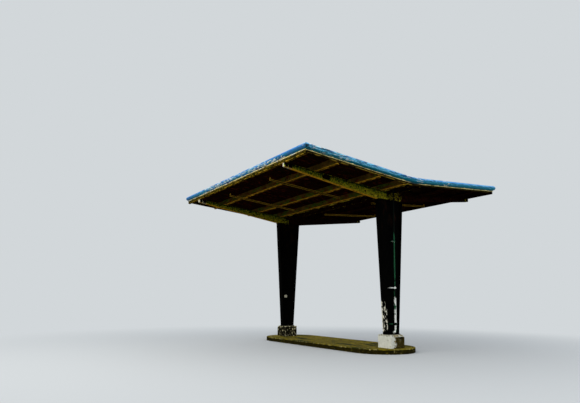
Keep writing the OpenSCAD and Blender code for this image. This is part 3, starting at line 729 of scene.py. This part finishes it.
def pushedPoint(f, dents, seed, half, s, inward, out, lift, angle):
    # A point of the path with waves and dents pushed in; s runs along it, inward is 1 on the inner face
    push = f["wave"] * (1 + wobble(s, angle / f["waveDegrees"], seed, size=f["waveSize"])) / 2
    for at, where, depth, width in dents:
        away = math.hypot(s - at, math.radians(angle - where) * fasciaRadius)
        push += f["dentDepth"] * depth * math.exp(-(away / (f["dentSize"] * width / 2)) ** 2)
    if abs(s) > half - f["calmEnd"]:
        push *= (half - abs(s)) / f["calmEnd"]      # the mitres stay closed
    if out < f["flatOut"]:
        push = min(push, f["flatPush"])
    shrink = push + inward * f["thickness"]
    if angle == 90 and out < f["flangeOut"]:
        return out + inward * f["thickness"], min(lift, lift - shrink)
    turn = math.radians(angle)
    return out - (shrink * math.cos(turn) if out > 0 else 0), lift - shrink * math.sin(turn)


def fasciaRun(f, name, node, half, joints, place):
    shape = Shape()
    dents = [(random.uniform(-half, half), *[random.uniform(*f[key]) for key in
                                             ("dentAngles", "dentShares", "dentWidths")])
             for _ in range(f["dents"])]
    seed = random.uniform(0, 50)
    ends = [-half, *joints, half]
    for number, (first, last) in enumerate(zip(ends, ends[1:])):
        rise, lap = (f["lapRise"], f["lap"]) if number % 2 else (0, 0)      # every other sheet lies on top
        low, high = max(-half, first - lap), min(half, last + lap)
        steps = max(2, round((high - low) / f["ringSpacing"]))
        path = [(0, *point) for point in fasciaPath(f, rise)]
        path += [(1, *point[1:]) for point in reversed(path)]
        rings = []
        for step in range(steps + 1):
            s, ring = low + (high - low) * step / steps, []
            for point in path:
                out, lift = pushedPoint(f, dents, seed, half, s, *point)
                mitre = out * math.copysign(1, s) if math.isclose(abs(s), half) else 0      # at the corners
                ring.append(place(s + mitre, out, lift))
            rings.append(ring)
        shape.skin(rings)
    count, turn = int(2 * (half - f["screwEnd"]) / f["screwSpacing"]), math.radians(f["screwAngle"])
    for number in range(count + 1):
        # Round-head screws through the lower part of each sheet
        s = (half - f["screwEnd"]) * (2 * number / count - 1)
        foot, tip = [place(s, (fasciaRadius + out) * math.cos(turn),
                           fasciaMid + (fasciaRadius + out) * math.sin(turn)) for out in f["screwLine"]]
        turned(shape, foot, tip - foot, f["screwHead"], 10)
    piece = shape.piece(name, "fascia_blue_paint", blueEnamel, smooth=50)
    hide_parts(node)


def makeFascia(f):
    reach, wing = canopy["halfLength"], canopy["wing"]
    sheets = [-reach + f["eaveSheets"] * k for k in (1, 2, 3)]
    for end, side in (("front", -1), ("back", 1)):
        fasciaRun(f, "fasciaSheets_" + end, "fascia_" + end, reach, sheets,
                  lambda s, out, lift, side=side: onWing(side, s, wing + out, lift))
    for end, side in (("left", -1), ("right", 1)):
        fasciaRun(f, "fasciaSheets_" + end, "fascia_" + end, wing, f["gableJoints"],
                  lambda s, out, lift, side=side: onGable(side * (reach + out), s, lift))


makeFascia(fascia)
print("fascia made")


# Deck: planks up the slope, each a little out of line with the next
deck = {"pitch": 0.1378, "gap": (0.002, 0.006), "chamfer": 0.004, "outOfLine": 0.0015,
        "stations": 14, "waver": 0.0012, "waverSize": 0.6}


def makeDeck(d):
    reach, wing, start, top = (canopy[key] for key in ("halfLength", "wing", "deckStart", "deckTop"))
    count, chamfer = round(2 * reach / d["pitch"]), d["chamfer"]
    pitch = 2 * reach / count
    for end, side in (("front", -1), ("back", 1)):
        shape = Shape()
        for number in range(count):
            low = -reach + number * pitch
            high = low + pitch - random.uniform(*d["gap"])
            drop = random.uniform(0, d["outOfLine"])
            tone, seed = random.random(), random.uniform(0, 90)
            rings = []
            for step in range(d["stations"] + 1):
                along = start + (wing - start) * step / d["stations"]
                shift = d["waver"] * (wobble(seed, along, size=d["waverSize"]) + 1) / 2
                under = canopy["deckUnder"] + drop + shift
                section = [(low, top), (low + shift, under + chamfer), (low + shift + chamfer, under),
                           (high - chamfer, under), (high, under + chamfer), (high, top)]
                rings.append([onWing(side, x, along, lift) for x, lift in section])
            shape.skin(rings, mark=tone)
        piece = shape.piece("planks_" + end, "deck_timber", deckStain, markName="board")
        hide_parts("deck_" + end)


# Roofing: felt strips that lap down towards the valley
roofing = {
    "strips": 4, "lap": 0.08, "thickness": 0.0035, "spacing": 0.07, "start": 0.181, "clear": 0.0005,
    "lapLayers": 2.4, "lapEase": 0.1, "edge": 0.001,
    "wrinkle": 0.0028, "wrinkleSize": 0.5, "creaseSize": 0.13, "creaseShare": 0.5,
}


def makeRoofing(r):
    reach, wing = canopy["halfLength"] - r["edge"], canopy["wing"] - r["edge"]
    width = (wing - r["start"]) / r["strips"]
    along = round(2 * reach / r["spacing"])
    for end, side in (("front", -1), ("back", 1)):
        shape = Shape()
        for number in range(r["strips"]):
            low = r["start"] + number * width
            high = min(low + width + r["lap"], wing)
            across = round((high - low) / r["spacing"])
            rings = []
            for i in range(along + 1):
                x, top, under = -reach + 2 * reach * i / along, [], []
                for j in range(across + 1):
                    up = low + (high - low) * j / across
                    wrinkle = 1 + wobble(x, up, number * 9 + side, size=r["wrinkleSize"])
                    wrinkle += r["creaseShare"] * wobble(x, up, number + 4, size=r["creaseSize"])
                    layers = 1
                    if number:      # each strip climbs over the one below it
                        fall = (up - low - r["lap"]) / r["lapEase"]
                        layers = r["lapLayers"] - min(r["lapLayers"] - 1, max(0, fall))
                    lift = canopy["deckTop"] + r["clear"] + layers * r["thickness"]
                    lift = min(lift + max(0, wrinkle * r["wrinkle"]), canopy["feltTop"] - r["clear"])
                    top.append(onWing(side, x, up, lift))
                    under.append(onWing(side, x, up, lift - r["thickness"]))
                rings.append(top + under[::-1])
            shape.skin(rings)
        piece = shape.piece("feltStrips_" + end, "roofing_felt", felt, smooth=40)
        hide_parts("roofing_" + end)


makeDeck(deck)
makeRoofing(roofing)
print("deck and roofing made")


# Kerb: cast in bays with joints between them, its outer edge worn and chipped
kerb = {
    "halfStraight": 2.425, "inner": 0.925, "width": 0.150, "height": 0.150, "round": 0.024, "roundSteps": 7,
    "seam": 0.002, "arris": 0.008, "skim": 0.001,       # gap to the slab, inner edge, under the full height
    "station": 0.035, "bay": 1.45, "jointDepth": 0.006, "jointHalf": 0.006, "jointFloor": 0.001,
    "jointClear": 0.02, "waver": 0.0025, "waverSize": 0.12,
    "chipDepth": 0.0476, "chipSize": 0.09, "chipLeast": 0.28, "chipReach": 0.03,
    "fixedIn": 0.01, "fixedFoot": 0.05, "flatShare": 0.2,       # where wear stops, and its share on the flat
}


def kerbSection(k):
    # Points (out, up) from the inner foot over the top to the outer foot
    top, flat = k["height"] - k["skim"], k["width"] - k["round"]
    points = [(k["seam"], k["height"] * t) for t in (0, 0.25, 0.5, 0.75, 0.95)]
    points += [(k["arris"] + (flat - k["arris"]) * t, top) for t in (0, 0.2, 0.4, 0.6, 0.8, 1)]
    for step in range(1, k["roundSteps"] + 1):
        turn = math.pi / 2 * step / k["roundSteps"]
        points.append((flat + k["round"] * math.sin(turn), top - k["round"] * (1 - math.cos(turn))))
    return points + [(k["width"], (k["height"] - k["round"]) * t) for t in (0.8, 0.6, 0.4, 0.2, 0)]


def kerbPlace(k, s, arc):
    # Foot of the section and its way out, at a distance round the island; the second half mirrors the first
    straight = 2 * k["halfStraight"]
    side, s = divmod(s, straight + arc)
    base, way = Vector((k["halfStraight"] - s, k["inner"])), Vector((0, 1))
    if s >= straight:
        turn = math.pi / 2 + (s - straight) / arc * math.pi
        way = Vector((math.cos(turn), math.sin(turn)))
        base = Vector((-k["halfStraight"], 0)) + way * k["inner"]
    return (base, way) if side == 0 else (-base, -way)


def makeKerb(k):
    arc = math.pi * (k["inner"] + k["width"])
    around = 4 * k["halfStraight"] + 2 * arc
    stations, bays = round(around / k["station"]), round(around / k["bay"])
    joints = [around * (i + 0.5) / bays for i in range(bays)]
    stops = [around * i / stations for i in range(stations)]
    stops = [s for s in stops if min(abs(s - joint) for joint in joints) > k["jointClear"]]
    for joint in joints:
        stops += [joint + a * b for a in (-1, 1) for b in (k["jointFloor"], k["jointHalf"])]
    section = kerbSection(k)
    shape, rings = Shape(), []
    for s in sorted(stops):
        gap = min(abs(s - joint) for joint in joints)
        pinch = k["jointDepth"] * (1 - gap / k["jointHalf"]) if gap < k["jointHalf"] else 0
        base, way = kerbPlace(k, s, arc)
        ring = []
        for out, up in section:
            spot = base + way * out
            edge = math.exp(-((out - k["width"]) ** 2 + (up - k["height"]) ** 2) / k["chipReach"] ** 2)
            chip = max(0, wobble(*spot, up + 3, size=k["chipSize"]) - k["chipLeast"])
            loss = k["waver"] * (1 + wobble(*spot, up, size=k["waverSize"])) / 2 + pinch
            loss += chip * k["chipDepth"] * edge
            if out > k["fixedIn"]:
                spot -= way * loss * (1 if out > k["width"] - k["chipReach"] else k["flatShare"])
            if up > k["fixedFoot"]:
                up -= loss * (1 if out < k["width"] - k["skim"] else k["flatShare"])
            ring.append((spot.x, spot.y, max(up, 0)))
        rings.append(ring)
    shape.skin(rings, closedRun=True)
    piece = shape.piece("castKerb", "kerb_concrete", kerbConcrete, smooth=60)
    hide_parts("island_kerb")


# Pedestals: cast blocks with rounded, chipped arrises and rough breaks at their top corners
pedestals = {
    "half": 0.285, "bottom": 0.140, "grid": 0.012, "round": 0.012, "waver": 0.0018, "waverSize": 0.06,
    "chipDepth": 0.0396, "chipSize": 0.05, "chipLeast": 0.18, "chipBand": 0.05, "footClear": 0.02,
    "breakRough": 0.012, "breakSize": 0.04,
    "blocks": [
        {"name": "castPedestal_left", "node": "pedestal_left", "side": -1, "slot": "black_pedestal_paint",
         "material": blackDistemper, "broken": [((-1, -1, 1), 0.05)]},
        {"name": "castPedestal_right", "node": "pedestal_right", "side": 1, "slot": "white_pedestal_paint",
         "material": whiteDistemper, "broken": [((1, -1, 1), 0.03), ((1, 1, 1), 0.05)]},
    ],
}


def makePedestal(p, block):
    low, high = p["bottom"], canopy["pedestalTop"]
    size = Vector((p["half"], p["half"], (high - low) / 2))
    centre = Vector((block["side"] * canopy["columnX"], 0, (high + low) / 2))
    made = bmesh.new()
    bmesh.ops.create_cube(made, size=2)
    cuts = round(2 * p["half"] / p["grid"])
    bmesh.ops.subdivide_edges(made, edges=made.edges, cuts=cuts, use_grid_fill=True)
    for vertex in made.verts:
        local = Vector([vertex.co[k] * size[k] for k in range(3)])
        core = Vector([max(-size[k] + p["round"], min(size[k] - p["round"], local[k])) for k in range(3)])
        out = (local - core).normalized()
        local = core + out * p["round"]
        spot = local + centre
        depth = p["waver"] * (1 + wobble(*spot, size=p["waverSize"])) / 2
        fromEdge = sorted(size[k] - abs(local[k]) for k in range(3))[1]
        if fromEdge < p["chipBand"] and local.z > p["footClear"] - size.z:
            chip = wobble(spot.x + 13 * block["side"], spot.y, spot.z, size=p["chipSize"]) - p["chipLeast"]
            depth += max(0, chip) * p["chipDepth"] * (1 - fromEdge / p["chipBand"])
        moved = local - out * depth
        for corner, cut in block["broken"]:
            # A rough plane across the corner
            way = Vector(corner).normalized()
            limit = sum(abs(way[k]) * size[k] for k in range(3)) - cut
            limit += p["breakRough"] * wobble(spot.x, spot.y, spot.z + 5, size=p["breakSize"])
            moved -= way * max(0, moved.dot(way) - limit)
        if vertex.co.z < -0.999:
            moved.z = -size.z       # the foot stays flat
        vertex.co = moved + centre
    mesh = bpy.data.meshes.new(block["name"])
    made.to_mesh(mesh)
    made.free()
    piece = addPiece(block["name"], mesh, block["slot"], block["material"])
    softenEdges(piece, 40)
    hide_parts(block["node"])


makeKerb(kerb)
for block in pedestals["blocks"]:
    makePedestal(pedestals, block)
print("concrete made")


# Bolts: hexagon heads and nuts with washers on plates, girders, cleats and splices
bolts = {
    "plate": {"across": 0.036, "head": 0.020, "stud": 0.030},
    "frame": {"across": 0.030, "head": 0.014, "stud": 0.012},
    "small": {"across": 0.019, "head": 0.009, "stud": 0.006},
}
boltPlaces = {
    "footAcross": 0.062, "footAlong": 0.14, "footPlate": 0.020,
    "capAcross": 0.032, "capAlong": (-0.40, -0.16, 0.16, 0.40), "capPlate": 0.016,
    "spliceAcross": 0.030, "spliceHeights": (4.785, 4.850, 4.912), "endPlate": 0.012,
    "armFlange": 0.014, "purlinWeb": 0.008, "purlinFlange": 0.009, "cleatThick": 0.008,
    "purlinShares": (0.73, 0.345, 0.09), "cleatAcross": 0.026, "cleatLift": 0.105, "cleatOut": 0.042,
    "eaveAcross": 0.030, "eaveBack": 0.042,
}


def addBolt(shape, at, axis, kind):
    # Washer, six-sided head with its corners taken off, and the end of the stud
    head, stud = bolts[kind]["head"], bolts[kind]["stud"]
    corner = bolts[kind]["across"] / math.sqrt(3)
    washer = [(-0.001, 1.25), (0.0025, 1.25), (0.003, 1.18)]
    nut = [(0.003, 0.97), (0.004, 1), (head * 0.85, 1), (head + 0.002, 0.84)]
    end = [(head, 0.5), (head + stud * 0.9, 0.5), (head + stud, 0.42)]
    turned(shape, at, axis, [(height, corner * wide) for height, wide in washer], 16)
    turned(shape, at, axis, [(height, corner * wide) for height, wide in nut], 6, random.uniform(0, 1))
    turned(shape, at, axis, [(height, corner * wide) for height, wide in end], 10)


def makeBolts(p):
    columns, front, back, frontPurlins, backPurlins = Shape(), Shape(), Shape(), Shape(), Shape()
    wing, up = canopy["wing"], Vector((0, 0, 1))
    for x, across in [(end * canopy["columnX"], across) for end in (-1, 1) for across in (-1, 1)]:
        for y in (-p["footAlong"], p["footAlong"]):
            foot = Vector((x + across * p["footAcross"], y, canopy["pedestalTop"] + p["footPlate"]))
            addBolt(columns, foot, up, "plate")
        for y in p["capAlong"]:
            under = Vector((x + across * p["capAcross"], y, canopy["kneeZ"] - p["capPlate"]))
            addBolt(columns, under, -up, "frame")
            addBolt(front if y < 0 else back, under + up * (p["capPlate"] + p["armFlange"]), up, "frame")
        for z in p["spliceHeights"]:
            for side, shape in ((-1, front), (1, back)):
                addBolt(shape, Vector((x + across * p["spliceAcross"], side * p["endPlate"], z)),
                        Vector((0, side, 0)), "frame")
        for side, girder, purlin in ((-1, front, frontPurlins), (1, back, backPurlins)):
            rise = onWing(side, 0, 0, 1) - onWing(side, 0, 0, 0)
            out = onWing(side, 0, 1, 0) - onWing(side, 0, 0, 0)
            for share in p["purlinShares"]:
                at, there = share * wing, x + across * p["cleatAcross"]
                addBolt(purlin, onWing(side, there, at + p["cleatThick"], p["cleatLift"]), out, "frame")
                addBolt(purlin, onWing(side, there, at - p["purlinWeb"], p["cleatLift"]), -out, "frame")
                addBolt(purlin, onWing(side, there, at + p["cleatOut"], p["cleatThick"]), rise, "small")
                addBolt(girder, onWing(side, there, at + p["cleatOut"], -p["armFlange"]), -rise, "small")
            there = x + across * p["eaveAcross"]
            addBolt(purlin, onWing(side, there, wing - p["eaveBack"], p["purlinFlange"]), rise, "small")
            addBolt(girder, onWing(side, there, wing - p["eaveBack"], -p["armFlange"]), -rise, "small")
    columns.piece("columnBolts", "black_column_paint", columnPaint, smooth=30)
    front.piece("girderBolts_front", "olive_cream_paint", girderPaint, smooth=30)
    back.piece("girderBolts_back", "rusted_cream_paint", rustedGirder, smooth=30)
    frontPurlins.piece("purlinBolts_front", "purlin_paint", purlinPaint, smooth=30)
    backPurlins.piece("purlinBolts_back", "purlin_paint", rustedPurlin, smooth=30)


# Welds: rippled fillets where the webs meet the flanges and the flanges meet their plates
welds = {
    "leg": 0.008, "ripple": 0.012, "swell": 0.0012, "uneven": 0.0008, "unevenSize": 0.05, "hollow": 0.42,
    "sink": 0.0005, "webHalf": 0.006, "columnFlange": 0.016, "columnHalf": 0.105, "footHalf": 0.245,
    "headHalf": 0.500, "footZ": 0.560, "headZ": 4.709, "armFlange": 0.014, "heelY": 0.03, "tipY": 3.974,
    "tipDepth": 0.105, "tipPlate": 0.014,
}


def addWeld(shape, start, end, one, other):
    # A fillet between two faces; one and other point out of the corner along each face
    w = welds
    count = max(2, round((end - start).length / (w["ripple"] / 2)))
    rings = []
    for i in range(count + 1):
        at = start + (end - start) * i / count
        leg = w["leg"] + w["swell"] * (1 if i % 2 else -1) + w["uneven"] * wobble(*at, size=w["unevenSize"])
        rings.append([at - (one + other) * w["sink"], at + one * leg,
                      at + (one + other) * leg * w["hollow"], at + other * leg])
    shape.skin(rings)


def makeWelds(w):
    columns, front, back = Shape(), Shape(), Shape()
    sideways, up = Vector((1, 0, 0)), Vector((0, 0, 1))
    kneeTop, heelTop = canopy["kneeZ"] + w["armFlange"], canopy["valleyZ"] - w["armFlange"]
    tipTop = canopy["valleyZ"] + (w["tipY"] + w["tipPlate"]) * math.tan(slope) - w["armFlange"]
    tipBottom = tipTop + 2 * w["armFlange"] - w["tipDepth"]
    for x, side in [(end * canopy["columnX"], side) for end in (-1, 1) for side in (-1, 1)]:
        arm = front if side < 0 else back
        for face in (-1, 1):
            def at(y, z):
                return Vector((x + face * w["webHalf"], side * y, z))
            out = sideways * face
            addWeld(columns, at(w["footHalf"] - w["columnFlange"], w["footZ"]),
                    at(w["headHalf"] - w["columnFlange"], w["headZ"]), out, Vector((0, -side, 0)))
            addWeld(arm, at(w["heelY"], kneeTop), at(w["headHalf"], kneeTop), out, up)
            addWeld(arm, at(w["headHalf"], kneeTop), at(w["tipY"], tipBottom), out, up)
            addWeld(arm, at(w["heelY"], heelTop), at(w["tipY"], tipTop), out, -up)
        for z, half, way in ((w["footZ"], w["footHalf"], up), (w["headZ"], w["headHalf"], -up)):
            start = Vector((x - w["columnHalf"], side * half, z))
            addWeld(columns, start, start + sideways * 2 * w["columnHalf"], Vector((0, side, 0)), way)
    columns.piece("columnWelds", "black_column_paint", columnPaint, smooth=80)
    front.piece("girderWelds_front", "olive_cream_paint", girderPaint, smooth=80)
    back.piece("girderWelds_back", "rusted_cream_paint", rustedGirder, smooth=80)


# Junction box on the web of the near girder, with a screwed lid, and a cable bush nearer the column
junction = {
    "web": 2.906, "middle": -2.55, "lift": -0.085, "length": 0.215, "height": 0.085, "depth": 0.055,
    "corner": 0.012, "sink": 0.001, "lidThick": 0.006, "lidLip": 0.004, "lidEdge": 0.002, "screwIn": 0.012,
    "screw": ((-0.001, 0.006), (0.002, 0.006), (0.0035, 0.0036)),       # height, radius
    "gland": ((-0.001, 0.016), (0.012, 0.016), (0.013, 0.012), (0.028, 0.012)),
    "bushMiddle": -1.0, "bushLift": -0.145, "bush": ((-0.001, 0.030), (0.012, 0.030), (0.020, 0.016)),
}


def roundedBox(shape, half, corner, depths, edge, place):
    # A box with round corners between two depths; place turns (along, up, out) into a point
    outline = []
    for cx, cy, quarter in ((1, 1, 0), (-1, 1, 1), (-1, -1, 2), (1, -1, 3)):
        for k in range(5):
            turn = (quarter + k / 4) * math.pi / 2
            outline.append((cx * (half[0] - corner), cy * (half[1] - corner), math.cos(turn), math.sin(turn)))
    back, front = depths
    shape.skin([[place(x + (corner - cut) * across, y + (corner - cut) * up, depth)
                 for x, y, across, up in outline]
                for depth, cut in ((back, 0), (front - edge, 0), (front, edge))])


def makeJunction(j):
    shape, right = Shape(), Vector((1, 0, 0))

    def place(along, up, out):
        return onWing(-1, j["web"] + out, -j["middle"] + along, j["lift"] + up)
    halfLong, halfHigh, lip = j["length"] / 2, j["height"] / 2, j["lidLip"]
    lidTop = j["depth"] + j["lidThick"]
    roundedBox(shape, (halfLong, halfHigh), j["corner"], (-j["sink"], j["depth"]), j["lidEdge"], place)
    roundedBox(shape, (halfLong + lip, halfHigh + lip), j["corner"] + lip, (j["depth"], lidTop),
               j["lidEdge"], place)
    for a in (-1, 1):
        for b in (-1, 1):
            spot = place(a * (halfLong - j["screwIn"]), b * (halfHigh - j["screwIn"]), lidTop)
            turned(shape, spot, right, j["screw"], 10)
        outward = place(a, 0, 0) - place(0, 0, 0)
        turned(shape, place(a * halfLong, 0, j["depth"] / 2), outward, j["gland"], 14)
    turned(shape, onWing(-1, j["web"], -j["bushMiddle"], j["bushLift"]), right, j["bush"], 20)
    shape.piece("junctionBox", "black_column_paint", columnPaint, smooth=40)


makeBolts(boltPlaces)
makeWelds(welds)
makeJunction(junction)
print("bolts, welds and junction box made")
